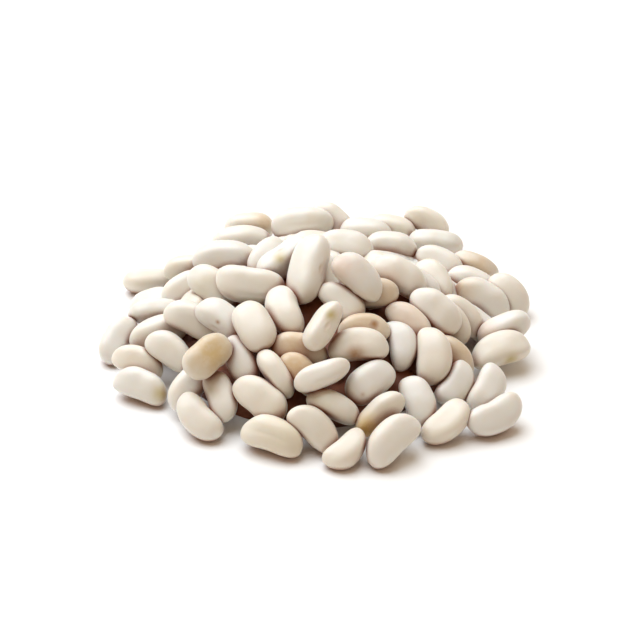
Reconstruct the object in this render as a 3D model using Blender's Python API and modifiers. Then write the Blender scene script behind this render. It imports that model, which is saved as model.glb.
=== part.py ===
"""A loose heap of dried white beans, about 115 mm across and 34 mm high, lying on a flat surface.

The heap is one solid: a low mound with a flat base, and fused to it the beans that lie on its outside,
each at its own size and angle. +Z is up and the origin is the middle of the base.
"""
import math

import bmesh
import bpy
import numpy as np
from mathutils import Vector

MM = 0.001

# The usual bean: how full its ends are, its width to its length, and its thickness to its width.
BEAN_FULLNESS = 2.9
BEAN_SLIMNESS = 0.55
BEAN_FLATNESS = 0.8
BEAN_BEND = 1.2

# The mound under the outer beans (mm).
MOUND_HEIGHT = 21.0
MOUND_RADIUS = 50.0
MOUND_POWER = 1.35
BEAN_OVER_MOUND = 4.2
RIM_RADIUS = 62.0

# The view that the visible beans are laid out from: degrees above the surface, mm, and pixels.
VIEW_ELEVATION = 34.0
VIEW_DISTANCE = 620.0
VIEW_FOCUS_PX = 2356.0
VIEW_MIDDLE_PX = 320.0
VIEW_AIM = np.array([1.3, 0.0, 7.3])

# How the beans are pressed together (mm a round, except the count of rounds and the two shares).
ROUNDS = 160
PRESS = 0.6
SINK = 0.7
LAYER_LIFT = 1.2
LAYER_SHARE = 0.15
PUSH_SHARE = 0.35
NEIGHBOUR_REACH = 18.6

# The beans that the view doesn't show, and the deeper ones that close the gaps between the others.
SEED = 5
SPOTS = 230
SPOT_RADIUS = 54.0
DEEP_RADIUS = 44.0
DROP = 40.0
UNSEEN_LENGTH = 15.0
MEET_PX = 13.0
BEHIND = 0.5
FLOOR_GAP = 0.05

# Faceting of the solid, and its lip on the floor (mm).
BEAN_SIDES = 8
BEAN_RINGS = 6
UNSEEN_SIDES = 6
UNSEEN_RINGS = 5
BEAN_SWELL = 1.06
MOUND_SIDES = 40
MOUND_RAISE = 1.2
LIP_RADIUS = 54.5
LIP_LEAST = 44.0
LIP_UNDER_BEAN = 6.0
LIP_HEIGHT = 1.0

# Each visible bean, from the lowest layer to the top one: its name, the picture column and row of its
# middle (px), the direction of its long axis in the picture (degrees from the right, anticlockwise), how
# far that end tips towards the viewer and how far the bean rolls about its long axis (degrees, 0 with a
# broad side towards the viewer and 90 with its back towards them), its length and width, and how far its
# ends bend back from its middle (mm).
LAYERS = (
    (
        ("far_left_1", 249, 228, 3, 0, -30, 14.0, 8.2, 0.8),
        ("far_middle_2", 333, 225, -45, 0, 0, 15.0, 8.1, 1.0),
        ("far_middle_3", 366, 233, -5, 0, -40, 15.0, 8.1, 1.0),
        ("far_right_1", 390, 233, -10, 0, -30, 15.0, 8.1, 1.0),
        ("far_right_2", 427, 224, -30, 0, -20, 13.5, 7.5, 0.8),
        ("left_3", 157, 313, 3, 0, -60, 15.5, 7.2, 1.0),
        ("left_4", 118, 340, 60, -20, 0, 14.0, 7.6, 1.0),
        ("middle_4", 299, 349, -8, 0, 0, 14.5, 7.8, 1.0),
        ("middle_5", 298, 378, -50, 0, 0, 13.0, 7.0, 1.0),
        ("upper_right_12", 475, 269, -25, 0, -60, 14.0, 7.0, 1.0),
        ("upper_left_9", 189, 271, 0, 0, -30, 14.0, 7.4, 1.0),
        ("top_9", 373, 296, 6, 0, 0, 13.5, 7.6, 0.6),
    ),
    (
        ("far_middle_1", 303, 224, 6, 0, -20, 17.5, 9.5, 0.3),
        ("far_left_2", 241, 242, 4, 0, -50, 16.5, 8.7, 0.8),
        ("far_right_3", 436, 244, -8, 0, -60, 15.5, 7.6, 0.8),
        ("far_right_4", 391, 249, -6, 0, -30, 14.5, 7.8, 0.8),
        ("upper_right_4", 434, 284, -60, 20, 0, 14.0, 7.6, 1.0),
        ("upper_left_4", 266, 257, 55, -20, 0, 13.0, 7.0, 0.8),
        ("left_1", 150, 282, 3, 0, -60, 15.0, 7.2, 1.0),
        ("left_2", 184, 289, 35, -10, 0, 14.0, 7.4, 1.0),
        ("left_5", 158, 334, 20, 0, -20, 16.0, 8.4, 0.8),
        ("left_7", 138, 363, -20, 10, 0, 14.2, 7.6, 1.0),
        ("lower_left_2", 190, 388, 52, -20, 0, 14.5, 7.8, 0.8),
        ("lower_left_5", 241, 362, -64, 20, -20, 14.0, 8.0, 0.3),
        ("right_middle_2", 366, 330, 0, 0, 0, 13.5, 7.3, 1.0),
        ("right_middle_5", 370, 382, 38, -20, 0, 14.2, 9.0, 0.2),
        ("right_middle_7", 335, 409, -25, 0, -70, 14.2, 7.7, 1.0),
        ("right_10", 412, 322, -45, 10, 0, 14.5, 7.8, 1.0),
        ("upper_right_9", 460, 316, -40, 0, 0, 14.0, 7.6, 1.0),
        ("upper_right_14", 502, 329, 25, 0, -40, 15.0, 8.1, 0.4),
        ("upper_right_13", 509, 297, -50, 0, 0, 14.0, 7.6, 1.0),
        ("right_2", 452, 356, -40, 0, 0, 13.5, 7.3, 1.0),
    ),
    (
        ("top_3", 345, 248, -8, 0, 20, 15.5, 8.4, 1.0),
        ("upper_right_3", 441, 263, -30, 10, 0, 14.5, 7.8, 1.0),
        ("top_8", 339, 301, -40, 10, 0, 14.0, 7.6, 1.0),
        ("upper_left_3", 224, 260, 2, 0, -30, 17.0, 9.2, 1.0),
        ("upper_left_7", 212, 288, -40, 10, 0, 15.0, 9.0, 0.3),
        ("left_6", 192, 322, -28, 0, -10, 15.0, 8.1, 1.0),
        ("left_9", 140, 388, -20, 15, 0, 14.8, 8.0, 1.3),
        ("left_8", 170, 352, -38, 10, -10, 14.0, 7.6, 0.8),
        ("lower_left_3", 199, 417, 132, -20, 0, 14.8, 7.9, 1.0),
        ("lower_left_4", 220, 397, -73, 25, 0, 14.0, 7.6, 0.6),
        ("upper_left_8", 221, 319, -33, 10, 35, 14.5, 7.8, 1.0),
        ("lower_left_6", 263, 398, -37, 10, 0, 15.6, 9.2, 0.6),
        ("right_middle_4", 322, 375, 23, 0, -80, 15.0, 8.1, 1.3),
        ("right_middle_3", 358, 346, 3, 0, 15, 15.5, 8.4, 1.3),
        ("front_left_2", 314, 429, -42, 0, 0, 15.0, 8.1, 1.3),
        ("right_middle_8", 378, 413, 42, 0, -30, 15.0, 6.7, 0.5),
        ("right_middle_6", 398, 347, -76, 20, 0, 13.5, 7.3, 2.0),
        ("upper_right_8", 450, 325, -50, 0, 0, 14.0, 7.6, 1.0),
        ("upper_right_11", 473, 285, -25, 0, -30, 15.0, 8.1, 1.0),
        ("right_4", 500, 350, 18, -12, 25, 16.2, 8.7, 1.3),
        ("right_3", 455, 384, 237, 20, 0, 12.9, 7.8, 1.4),
        ("right_5", 486, 390, 240, 20, 0, 13.8, 8.1, 1.4),
        ("upper_right_5", 421, 290, -35, 0, 0, 14.5, 7.8, 1.0),
    ),
    (
        ("upper_right_6", 400, 277, -33, 0, 10, 15.8, 8.5, 1.0),
        ("upper_left_6", 250, 284, 172, 0, 0, 17.8, 9.6, 1.0),
        ("middle_2", 287, 311, 115, -30, 0, 15.0, 8.4, 0.5),
        ("lower_left_1", 208, 357, 42, -30, 0, 14.5, 9.0, 0.3),
        ("middle_3", 276, 374, -56, 10, -80, 13.9, 7.4, 1.0),
        ("front_left_1", 273, 436, -19, 15, 0, 16.3, 8.8, 1.5),
        ("front_1", 346, 450, 222, 15, -30, 12.8, 7.0, 1.6),
        ("front_2", 393, 441, 43, -18, 0, 16.4, 8.9, 1.5),
        ("upper_right_7", 434, 313, -39, 5, 0, 15.3, 8.7, 0.4),
        ("upper_right_10", 483, 298, -28, 0, -10, 16.0, 8.8, 0.9),
        ("right_1", 432, 356, -89, 15, 0, 15.0, 9.2, 1.5),
        ("right_8", 417, 402, -70, 20, 0, 13.7, 8.2, 1.1),
        ("right_7", 495, 415, 208, 18, 0, 15.6, 8.4, 1.4),
        ("right_6", 446, 422, 223, 15, -30, 14.5, 7.9, 0.8),
    ),
    (
        ("top_7", 358, 277, -43, 0, 10, 15.5, 8.4, 1.0),
        ("right_middle_1", 323, 326, 57, -10, 75, 14.2, 7.8, 1.3),
        ("middle_1", 253, 327, -60, 25, 0, 14.2, 9.5, 0.3),
        ("upper_left_5", 284, 260, 215, 10, 50, 16.0, 8.6, 1.3),
    ),
    (
        ("top_6", 309, 274, 75, -16, 50, 19.4, 10.2, 0.8),
    ),
)

TILT = math.radians(VIEW_ELEVATION)
TO_VIEWER = np.array([0.0, -math.cos(TILT), math.sin(TILT)])
ACROSS = np.array([1.0, 0.0, 0.0])
UPWARD = np.cross(TO_VIEWER, ACROSS)
EYE = VIEW_AIM + VIEW_DISTANCE * TO_VIEWER
GOLDEN_ANGLE = math.pi * (3 - math.sqrt(5))


def unit(vectors):
    return vectors / np.maximum(np.linalg.norm(vectors, axis=-1, keepdims=True), 1e-9)


def turn(axis, degrees):
    """Matrix of a rotation about an axis."""
    x, y, z = axis
    cross = np.array([[0, -z, y], [z, 0, -x], [-y, x, 0]])
    angle = math.radians(degrees)
    return np.eye(3) + math.sin(angle) * cross + (1 - math.cos(angle)) * cross @ cross


def mound_top(x, y):
    reach = np.minimum(np.hypot(x, y) / MOUND_RADIUS, 1.0)
    return MOUND_HEIGHT * (1 - reach ** MOUND_POWER)


def in_picture(points):
    """Picture column, picture row and depth of each point."""
    away = points - EYE
    depth = -away @ TO_VIEWER
    column = VIEW_MIDDLE_PX + VIEW_FOCUS_PX * (away @ ACROSS) / depth
    row = VIEW_MIDDLE_PX - VIEW_FOCUS_PX * (away @ UPWARD) / depth
    return np.stack([column, row, depth], axis=-1)


def axes_from_view(heading, nod, roll):
    """A bean's three axes, as the columns of a matrix, from its directions in the picture."""
    heading, nod = math.radians(heading), math.radians(nod)
    flat = math.cos(heading) * ACROSS + math.sin(heading) * UPWARD
    along = math.cos(nod) * flat + math.sin(nod) * TO_VIEWER
    facing = math.cos(nod) * TO_VIEWER - math.sin(nod) * flat
    return turn(along, -roll) @ np.stack([along, np.cross(facing, along), facing], axis=1)


def axes_on_mound(x, y, heading, nod, roll):
    """A bean's axes where it lies on the mound, and the direction that faces outwards there."""
    reach = math.hypot(x, y)
    share = min(reach / MOUND_RADIUS, 1.0)
    slope = MOUND_HEIGHT * MOUND_POWER / MOUND_RADIUS * share ** (MOUND_POWER - 1)
    outward = unit(np.array([slope * x / reach, slope * y / reach, 1.0]))
    along = turn(outward, heading) @ unit(np.cross([0.0, 1.0, 0.0], outward))
    axes = np.stack([along, np.cross(outward, along), outward], axis=1)
    return turn(axes[:, 0], roll) @ turn(axes[:, 1], nod) @ axes, outward


def bean_balls(size, axes):
    """Middles and radii of the balls that stand for a bean while the heap is laid out."""
    length, width, bend = size
    along = np.repeat([-0.7, -0.35, 0.0, 0.35, 0.7], 2)
    side = np.tile([-1.0, 1.0], 5)
    radii = BEAN_FLATNESS * width / 2 * np.sqrt(1 - np.abs(along) ** BEAN_FULLNESS)
    out = bend * (0.45 - along ** 2) + side * (1 - BEAN_FLATNESS) / BEAN_FLATNESS * radii
    middles = np.stack([along * length / 2, out, np.zeros(10)], axis=1)
    return middles @ axes.T, np.minimum(radii, 1.15 * (1 - np.abs(along)) * length / 2)


def start_on_sight(column, row, lift):
    """Where the line of sight through a pixel meets the outer beans or passes nearest to them."""
    across, down = column - VIEW_MIDDLE_PX, row - VIEW_MIDDLE_PX
    way = unit(across * ACROSS - down * UPWARD - VIEW_FOCUS_PX * TO_VIEWER)
    points = EYE + np.arange(500, 760, 0.25)[:, None] * way
    rest = np.maximum(mound_top(points[:, 0], points[:, 1]) + BEAN_OVER_MOUND, BEAN_OVER_MOUND)
    over = np.where(np.hypot(points[:, 0], points[:, 1]) < RIM_RADIUS, points[:, 2] - rest, 99.0)
    nearest = np.argmax(over <= 0) if over.min() <= 0 else np.argmin(over)
    return points[nearest] - lift * way, way


def press_together(middles, ways, layers, offsets, radii):
    """Press the beans along their lines of sight, and part each two that sink in too far."""
    for count in range(ROUNDS):
        middles = middles + PRESS * (1 - count / ROUNDS) * ways
        away = middles - EYE
        middles = middles - 0.4 * (away - np.sum(away * ways, axis=1, keepdims=True) * ways)
        for _ in range(3):
            near = np.linalg.norm(middles[:, None] - middles, axis=2) < NEIGHBOUR_REACH
            one, two = np.nonzero(np.triu(near, 1))
            balls = middles[:, None] + offsets
            apart = balls[one][:, :, None] - balls[two][:, None]
            reach = radii[one][:, :, None] + radii[two][:, None] - SINK
            overlap = (reach - np.linalg.norm(apart, axis=3)).reshape(len(one), -1)
            pair = np.arange(len(one))
            worst = overlap.argmax(axis=1)
            push = unit(apart.reshape(len(one), -1, 3)[pair, worst])
            upper = np.sign(layers[one] - layers[two])[:, None]
            push = unit(push + LAYER_SHARE * upper * TO_VIEWER)
            push *= PUSH_SHARE * np.maximum(overlap[pair, worst], 0)[:, None]
            np.add.at(middles, one, push)
            np.add.at(middles, two, -push)
            middles[:, 2] += lift_out(middles, offsets, radii)
    return middles


def lift_out(middles, offsets, radii):
    """How far each bean has to rise to lie on the mound and on the floor."""
    balls = middles[:, None] + offsets
    bottom = balls[..., 2] - radii
    on_mound = np.hypot(balls[..., 0], balls[..., 1]) < MOUND_RADIUS
    over = np.where(on_mound, bottom - mound_top(balls[..., 0], balls[..., 1]) + SINK, 9.0)
    return np.maximum(0, -np.minimum(over, bottom).min(axis=1))


def free_slide(start, way, offsets, radii, other_balls, other_radii, sink, rest):
    """How far a bean slides from start until it touches a bean, the mound or the floor."""
    balls = start + offsets
    to_others = other_balls - balls[:, None]
    along = to_others @ way
    aside = np.sum(to_others ** 2, axis=2) - along ** 2
    touch = (radii[:, None] + other_radii - sink) ** 2
    contact = np.where(aside < touch, along - np.sqrt(np.maximum(touch - aside, 0)), np.inf)
    to_floor = np.min((balls[:, 2] - radii) / max(-way[2], 1e-6))
    steps = np.arange(0, 1.5 * DROP, 0.25)
    path = start + steps[:, None] * way
    sunk = path[:, 2] < mound_top(path[:, 0], path[:, 1]) + rest
    sunk &= np.hypot(path[:, 0], path[:, 1]) < MOUND_RADIUS
    to_mound = steps[np.argmax(sunk)] if np.any(sunk) else np.inf
    return min(contact.min(), to_floor, to_mound)


def lay_visible():
    """The beans of LAYERS: their middles, axes, sizes, and the balls that stand for them."""
    rows = [(bean[1:], layer) for layer, beans in enumerate(LAYERS) for bean in beans]
    layers = np.array([float(layer) for _, layer in rows])
    starts = [start_on_sight(bean[0], bean[1], LAYER_LIFT * layer) for bean, layer in rows]
    axes = np.array([axes_from_view(*bean[2:5]) for bean, _ in rows])
    sizes = np.array([bean[5:8] for bean, _ in rows])
    balls = [bean_balls(size, axis) for size, axis in zip(sizes, axes)]
    offsets = np.array([ball[0] for ball in balls])
    radii = np.array([ball[1] for ball in balls])
    middles = np.array([start[0] for start in starts])
    ways = np.array([start[1] for start in starts])
    return press_together(middles, ways, layers, offsets, radii), axes, sizes, offsets, radii


def is_below_skyline(middle, axes, size, visible):
    """Whether a bean lies lower in the picture than the farthest visible ones."""
    for column, row, _ in in_picture(middle + np.outer([-0.45, 0.0, 0.45], size[0] * axes[:, 0])):
        tops = visible[np.abs(visible[:, 0] - column) < 26, 1]
        if not len(tops) or row < tops.min() + 1:
            return False
    return True


def is_in_front(middle, visible):
    """Whether a bean lies in front of the middle of a visible one."""
    column, row, depth = in_picture(middle)
    covers = (np.abs(visible[:, 0] - column) < 48) & (visible[:, 2] > depth - 3)
    covers &= (visible[:, 1] > row - 10) & (visible[:, 1] < row + 60)
    return np.any(covers)


def way_back(balls, visible_balls):
    """How far a bean has to go from the viewer to lie behind every visible one that it meets."""
    own = in_picture(balls)[:, None]
    meets = np.hypot(own[..., 0] - visible_balls[:, 0], own[..., 1] - visible_balls[:, 1]) < MEET_PX
    return max(0.0, np.where(meets, visible_balls[:, 2] + BEHIND - own[..., 2], 0.0).max())


def lay_unseen(middles, axes, sizes, offsets, radii):
    """Add beans on the far side, and deeper ones wherever a gap is left, to those already lying."""
    rng = np.random.default_rng(SEED)
    visible = in_picture(middles)
    beans = list(zip(middles, axes, sizes))
    balls, ball_radii = (middles[:, None] + offsets).reshape(-1, 3), radii.reshape(-1)
    visible_balls = in_picture(balls)
    # Each fill, in mm: how far its beans sink into others, how high their middles rest over the mound and
    # may lie over it at most, and where they lie.
    fills = (
        {"kind": "far", "sink": 1.0, "rest": 2.1, "highest": 6.4, "from_y": -2.0, "within": SPOT_RADIUS},
        {"kind": "deep", "sink": 3.4, "rest": 0.0, "highest": 3.3, "from_y": -90.0, "within": DEEP_RADIUS},
        {"kind": "between", "sink": 2.6, "rest": 1.2, "highest": 6.0, "from_y": -2.0, "within": SPOT_RADIUS},
        {"kind": "between", "sink": 4.4, "rest": -1.0, "highest": 3.0, "from_y": -8.0, "within": SPOT_RADIUS},
    )
    for fill in fills:
        for spot in range(SPOTS):
            reach = SPOT_RADIUS * math.sqrt((spot + 0.5) / SPOTS)
            x, y = reach * math.cos(spot * GOLDEN_ANGLE), reach * math.sin(spot * GOLDEN_ANGLE)
            first, roll = rng.uniform(0, 360), rng.normal(0, 35)
            nod, length = rng.normal(0, 12), rng.normal(UNSEEN_LENGTH, 1.0)
            size = np.array([length, BEAN_SLIMNESS * length, BEAN_BEND * rng.uniform(0.4, 1.8)])
            if y < fill["from_y"] or reach > fill["within"]:
                continue
            tries = []
            for heading in range(0, 180, 20):
                axis, outward = axes_on_mound(x, y, first + heading, nod, roll)
                offset, radius = bean_balls(size, axis)
                start = np.array([x, y, mound_top(x, y)]) + DROP * outward
                slide = free_slide(
                    start, -outward, offset, radius, balls, ball_radii, fill["sink"], fill["rest"]
                )
                tries.append((slide, start - slide * outward, axis, offset, radius))
            _, middle, axis, offset, radius = max(tries, key=lambda found: found[0])
            if middle[2] > max(mound_top(middle[0], middle[1]) + fill["highest"], 4.8):
                continue
            if math.hypot(middle[0], middle[1]) > SPOT_RADIUS:
                continue
            back = way_back(middle + offset, visible_balls)
            if fill["kind"] == "far" and (back > 0 or is_in_front(middle, visible)):
                continue
            middle = middle - back * TO_VIEWER
            if fill["kind"] != "deep" and not is_below_skyline(middle, axis, size, visible):
                continue
            if np.min(middle[2] + offset[:, 2] - radius) < 0:
                continue
            beans.append((middle, axis, size))
            balls, ball_radii = np.vstack([balls, middle + offset]), np.hstack([ball_radii, radius])
    return beans


def bean_surface(points, size):
    """Move points of a unit sphere, with its poles at +-X, onto a bean (mm)."""
    length, width, bend = size
    along, side, up = points.T
    ring = np.maximum(np.hypot(side, up), 1e-9)
    full = width / 2 * np.sqrt(np.maximum(1 - np.abs(along) ** BEAN_FULLNESS, 0)) / ring
    middle_line = bend * (0.45 - along ** 2)
    return np.stack([along * length / 2, full * side + middle_line, BEAN_FLATNESS * full * up], axis=1)


def new_object(name, mesh, collection):
    thing = bpy.data.objects.new(name, mesh)
    collection.objects.link(thing)
    return thing


def make_bean(name, bean, sides, rings, collection):
    """A bean with few sides, turned and moved to its place."""
    middle, axes, size = bean
    mesh = bpy.data.meshes.new(name)
    shape = bmesh.new()
    bmesh.ops.create_uvsphere(shape, u_segments=sides, v_segments=rings, radius=1.0)
    sphere = np.array([(vert.co.z, vert.co.x, vert.co.y) for vert in shape.verts])
    points = middle + BEAN_SWELL * bean_surface(sphere, size) @ axes.T
    points[:, 2] = np.maximum(points[:, 2], FLOOR_GAP)
    for vert, point in zip(shape.verts, points * MM):
        vert.co = point
    shape.to_mesh(mesh)
    shape.free()
    return new_object(name, mesh, collection)


def lip_reach(x, y, middles):
    """How far the lip goes in the direction of a point: out to the middles of the beans that lie there."""
    ahead = np.array([x, y]) / math.hypot(x, y)
    along = middles[:, :2] @ ahead
    aside = np.abs(middles[:, 0] * ahead[1] - middles[:, 1] * ahead[0])
    covered = along - 2 * np.maximum(aside - LIP_UNDER_BEAN, 0)
    return min(max(covered.max(), LIP_LEAST), LIP_RADIUS)


def draw_in_lip(mound, middles):
    """Draw the edge of the mound in where no bean lies over it."""
    for vert in mound.data.vertices:
        reach = math.hypot(vert.co.x, vert.co.y) / MM
        if reach > 1.0:
            short = 1 - lip_reach(vert.co.x, vert.co.y, middles) / LIP_RADIUS
            share = 1 - short * (reach / LIP_RADIUS) ** 4
            vert.co.x *= share
            vert.co.y *= share


def make_mound(collection):
    """The mound: its profile turned about Z, with a flat base on the floor."""
    profile = bmesh.new()
    reaches = [0.0, 6.0, 14.0, 22.0, 30.0, 38.0, 45.0, MOUND_RADIUS]
    points = [(reach, mound_top(reach, 0.0) + MOUND_RAISE) for reach in reaches]
    points += [(LIP_RADIUS, LIP_HEIGHT), (LIP_RADIUS, 0.0), (0.0, 0.0)]
    verts = [profile.verts.new((reach * MM, 0.0, height * MM)) for reach, height in points]
    for one, two in zip(verts, verts[1:]):
        profile.edges.new((one, two))
    mesh = bpy.data.meshes.new("bean_heap")
    profile.to_mesh(mesh)
    profile.free()
    mound = new_object("bean_heap", mesh, collection)
    screw = mound.modifiers.new("turned", "SCREW")
    screw.axis = "Z"
    screw.steps = screw.render_steps = MOUND_SIDES
    screw.use_merge_vertices = True
    screw.merge_threshold = 0.00001
    return mound


def apply_modifiers(thing):
    """Replace an object's mesh by the mesh that its modifiers make."""
    graph = bpy.context.evaluated_depsgraph_get()
    made = bpy.data.meshes.new_from_object(thing.evaluated_get(graph))
    thing.modifiers.clear()
    thing.data = made


def bodies_of(shape):
    """The faces of a mesh, grouped by the closed body that they belong to."""
    left, bodies = set(shape.faces), []
    while left:
        body, rim = set(), [left.pop()]
        while rim:
            face = rim.pop()
            body.add(face)
            touching = {other for edge in face.edges for other in edge.link_faces} & left
            left -= touching
            rim.extend(touching)
        bodies.append(body)
    return sorted(bodies, key=len)


def keep_largest_body(thing):
    """Drop the loose scraps, and fill the sealed hollows by dropping their inner skins."""
    shape = bmesh.new()
    shape.from_mesh(thing.data)
    bmesh.ops.triangulate(shape, faces=shape.faces)
    dropped = bodies_of(shape)[:-1]
    for body in dropped:
        if len(body) > 30:
            middle = sum((face.calc_center_median() for face in body), Vector()) / len(body)
            print("not fused: the bean at %.1f, %.1f, %.1f mm" % tuple(middle / MM))
    bmesh.ops.delete(shape, geom=[face for body in dropped for face in body], context="FACES")
    shape.to_mesh(thing.data)
    shape.free()


def bean_material():
    material = bpy.data.materials.new("dried white bean")
    material.use_nodes = True
    skin = material.node_tree.nodes["Principled BSDF"]
    skin.inputs["Base Color"].default_value = (0.78, 0.70, 0.60, 1.0)
    skin.inputs["Roughness"].default_value = 0.42
    skin.inputs["Metallic"].default_value = 0.0
    return material


def build():
    for thing in list(bpy.data.objects):
        bpy.data.objects.remove(thing)
    heap = bpy.data.collections.new("heap_of_dried_beans")
    pieces = bpy.data.collections.new("beans_to_fuse")
    for collection in (heap, pieces):
        bpy.context.scene.collection.children.link(collection)
    mound = make_mound(heap)
    beans = lay_unseen(*lay_visible())
    apply_modifiers(mound)
    draw_in_lip(mound, np.array([middle for middle, _, _ in beans]))
    shown = sum(len(layer) for layer in LAYERS)
    for count, bean in enumerate(beans):
        sides, rings = (BEAN_SIDES, BEAN_RINGS) if count < shown else (UNSEEN_SIDES, UNSEEN_RINGS)
        make_bean("bean_%03d" % count, bean, sides, rings, pieces)
    fuse = mound.modifiers.new("fused beans", "BOOLEAN")
    fuse.operation = "UNION"
    fuse.operand_type = "COLLECTION"
    fuse.collection = pieces
    fuse.solver = "EXACT"
    apply_modifiers(mound)
    for thing in list(pieces.objects):
        bpy.data.objects.remove(thing)
    bpy.data.collections.remove(pieces)
    keep_largest_body(mound)
    mound.data.materials.clear()
    mound.data.materials.append(bean_material())
    print("beans", len(beans), "triangles", len(mound.data.polygons))


build()
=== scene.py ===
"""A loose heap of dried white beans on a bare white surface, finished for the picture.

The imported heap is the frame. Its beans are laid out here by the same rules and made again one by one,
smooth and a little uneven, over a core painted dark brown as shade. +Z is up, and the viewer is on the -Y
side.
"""
import math

import bmesh
import bpy
import numpy as np
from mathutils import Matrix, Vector


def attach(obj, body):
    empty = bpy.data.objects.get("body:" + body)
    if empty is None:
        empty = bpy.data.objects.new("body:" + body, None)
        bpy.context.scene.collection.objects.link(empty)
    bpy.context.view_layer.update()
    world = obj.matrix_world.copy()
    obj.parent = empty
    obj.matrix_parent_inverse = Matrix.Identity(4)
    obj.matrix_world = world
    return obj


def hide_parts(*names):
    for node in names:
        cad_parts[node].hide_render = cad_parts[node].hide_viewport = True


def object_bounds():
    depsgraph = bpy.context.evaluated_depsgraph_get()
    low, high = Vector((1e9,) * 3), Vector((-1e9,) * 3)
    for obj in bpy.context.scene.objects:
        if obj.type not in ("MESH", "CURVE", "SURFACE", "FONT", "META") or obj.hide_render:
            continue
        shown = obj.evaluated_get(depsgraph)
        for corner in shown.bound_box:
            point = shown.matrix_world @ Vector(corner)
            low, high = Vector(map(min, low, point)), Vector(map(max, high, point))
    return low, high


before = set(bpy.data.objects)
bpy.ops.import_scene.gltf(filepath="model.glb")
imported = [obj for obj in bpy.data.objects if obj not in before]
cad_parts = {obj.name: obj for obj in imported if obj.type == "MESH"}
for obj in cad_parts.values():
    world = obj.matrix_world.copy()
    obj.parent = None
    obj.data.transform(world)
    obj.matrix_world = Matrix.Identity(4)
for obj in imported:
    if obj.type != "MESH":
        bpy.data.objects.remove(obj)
cad_low, cad_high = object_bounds()

HEAP_NODE = "bean_heap"
HEAP_BODY = "root"

MM = 0.001

# The usual bean: how full its ends are, its width to its length, its thickness to its width, how far its
# ends bend back from its middle (mm), and the square of the place where its bent middle line crosses its
# long axis (0 at its middle and 1 at its ends).
BEAN_FULLNESS = 2.9
BEAN_SLIMNESS = 0.55
BEAN_FLATNESS = 0.8
BEAN_BEND = 1.2
BEND_CROSSING = 0.45

# The pairs of balls that stand for a bean while the heap is laid out: their places along half the bean, and
# the most that one may be to what is left of the bean beyond it.
BALL_PLACES = (-0.7, -0.35, 0.0, 0.35, 0.7)
BALL_MOST = 1.15

# The mound under the outer beans (mm, but its power is a plain number), how high over it their middles
# lie, and how far out they lie (mm).
MOUND_HEIGHT = 21.0
MOUND_RADIUS = 50.0
MOUND_POWER = 1.35
BEAN_OVER_MOUND = 4.2
RIM_RADIUS = 62.0

# The view that the visible beans are laid out from: degrees above the surface, mm, and pixels.
VIEW_ELEVATION = 34.0
VIEW_DISTANCE = 620.0
VIEW_FOCUS_PX = 2356.0
VIEW_MIDDLE_PX = 320.0
VIEW_AIM = np.array([1.3, 0.0, 7.3])

# The stretch of a line of sight that may meet the heap, from the viewer, and the steps along it (mm).
SIGHT_FROM = 500.0
SIGHT_TO = 760.0
SIGHT_STEP = 0.25

# How the beans are pressed together: the rounds, the pushes in each round, how far the first round moves a
# bean along its line of sight, how far two beans may sink into each other, how much nearer to the viewer
# each layer starts, and how near two middles have to be for their beans to meet (mm).
ROUNDS = 160
PUSHES = 3
PRESS = 0.6
SINK = 0.7
LAYER_LIFT = 1.2
NEIGHBOUR_REACH = 18.6

# Shares: how much a push also parts upper from lower layers, how much of an overlap one push takes away,
# and how much of the way back to its line of sight a bean goes in a round.
LAYER_SHARE = 0.15
PUSH_SHARE = 0.35
SIGHT_SHARE = 0.4

# The beans that the view doesn't show: the spots that they are tried on, how far out these go, how far over
# the mound a bean starts and how far it may slide, and the highest middle of one on the floor (mm).
SEED = 5
SPOTS = 230
SPOT_RADIUS = 54.0
DEEP_RADIUS = 44.0
DROP = 40.0
SLIDE = 60.0
SLIDE_STEP = 0.25
FLOOR_REST = 4.8

# The same beans one by one: their usual length and its spread (mm), the spreads of their nod and roll, the
# turns between the headings that are tried (degrees), and their least and most bend to the usual one.
UNSEEN_LENGTH = 15.0
LENGTH_SPREAD = 1.0
NOD_SPREAD = 12.0
ROLL_SPREAD = 35.0
HEADING_STEP = 20
BEND_RANGE = (0.4, 1.8)

# Each fill, in mm: how far its beans sink into others, how high their middles rest over the mound and may
# lie over it at most, and where they lie.
FILLS = (
    {"kind": "far", "sink": 1.0, "rest": 2.1, "highest": 6.4, "from_y": -2.0, "within": SPOT_RADIUS},
    {"kind": "deep", "sink": 3.4, "rest": 0.0, "highest": 3.3, "from_y": -90.0, "within": DEEP_RADIUS},
    {"kind": "between", "sink": 2.6, "rest": 1.2, "highest": 6.0, "from_y": -2.0, "within": SPOT_RADIUS},
    {"kind": "between", "sink": 4.4, "rest": -1.0, "highest": 3.0, "from_y": -8.0, "within": SPOT_RADIUS},
)

# When an unseen bean meets a visible one in the picture (px), and how far behind it then goes (mm).
MEET_PX = 13.0
BEHIND = 0.5

# The skyline over an unseen bean: the places along the bean that are compared with it (of its length), how
# far to each side it is looked for, and how much lower than it the bean lies (px).
SKYLINE_PLACES = (-0.45, 0.0, 0.45)
SKYLINE_PX = 26.0
SKYLINE_GAP_PX = 1.0

# A bean of the first fill lies in front of a visible one that it is this near to in the picture, to each
# side, above and below (px), and that is at most this much nearer to the viewer (mm).
FRONT_SIDE_PX = 48.0
FRONT_ABOVE_PX = 10.0
FRONT_BELOW_PX = 60.0
FRONT_DEPTH = 3.0

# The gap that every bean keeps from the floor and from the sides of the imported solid's box (mm).
FLOOR_GAP = 0.05

# How one bean differs from the next: the usual spread of each measure, as a share or in mm.
LOOKS_SEED = 11
THICKNESS_SPREAD = 0.05
TAPER_SPREAD = 0.07
SWAY_SPREAD = 0.3
HOLLOW_SPREAD = (0.2, 1.3)
GRAIN_SPREAD = 400.0

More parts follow.
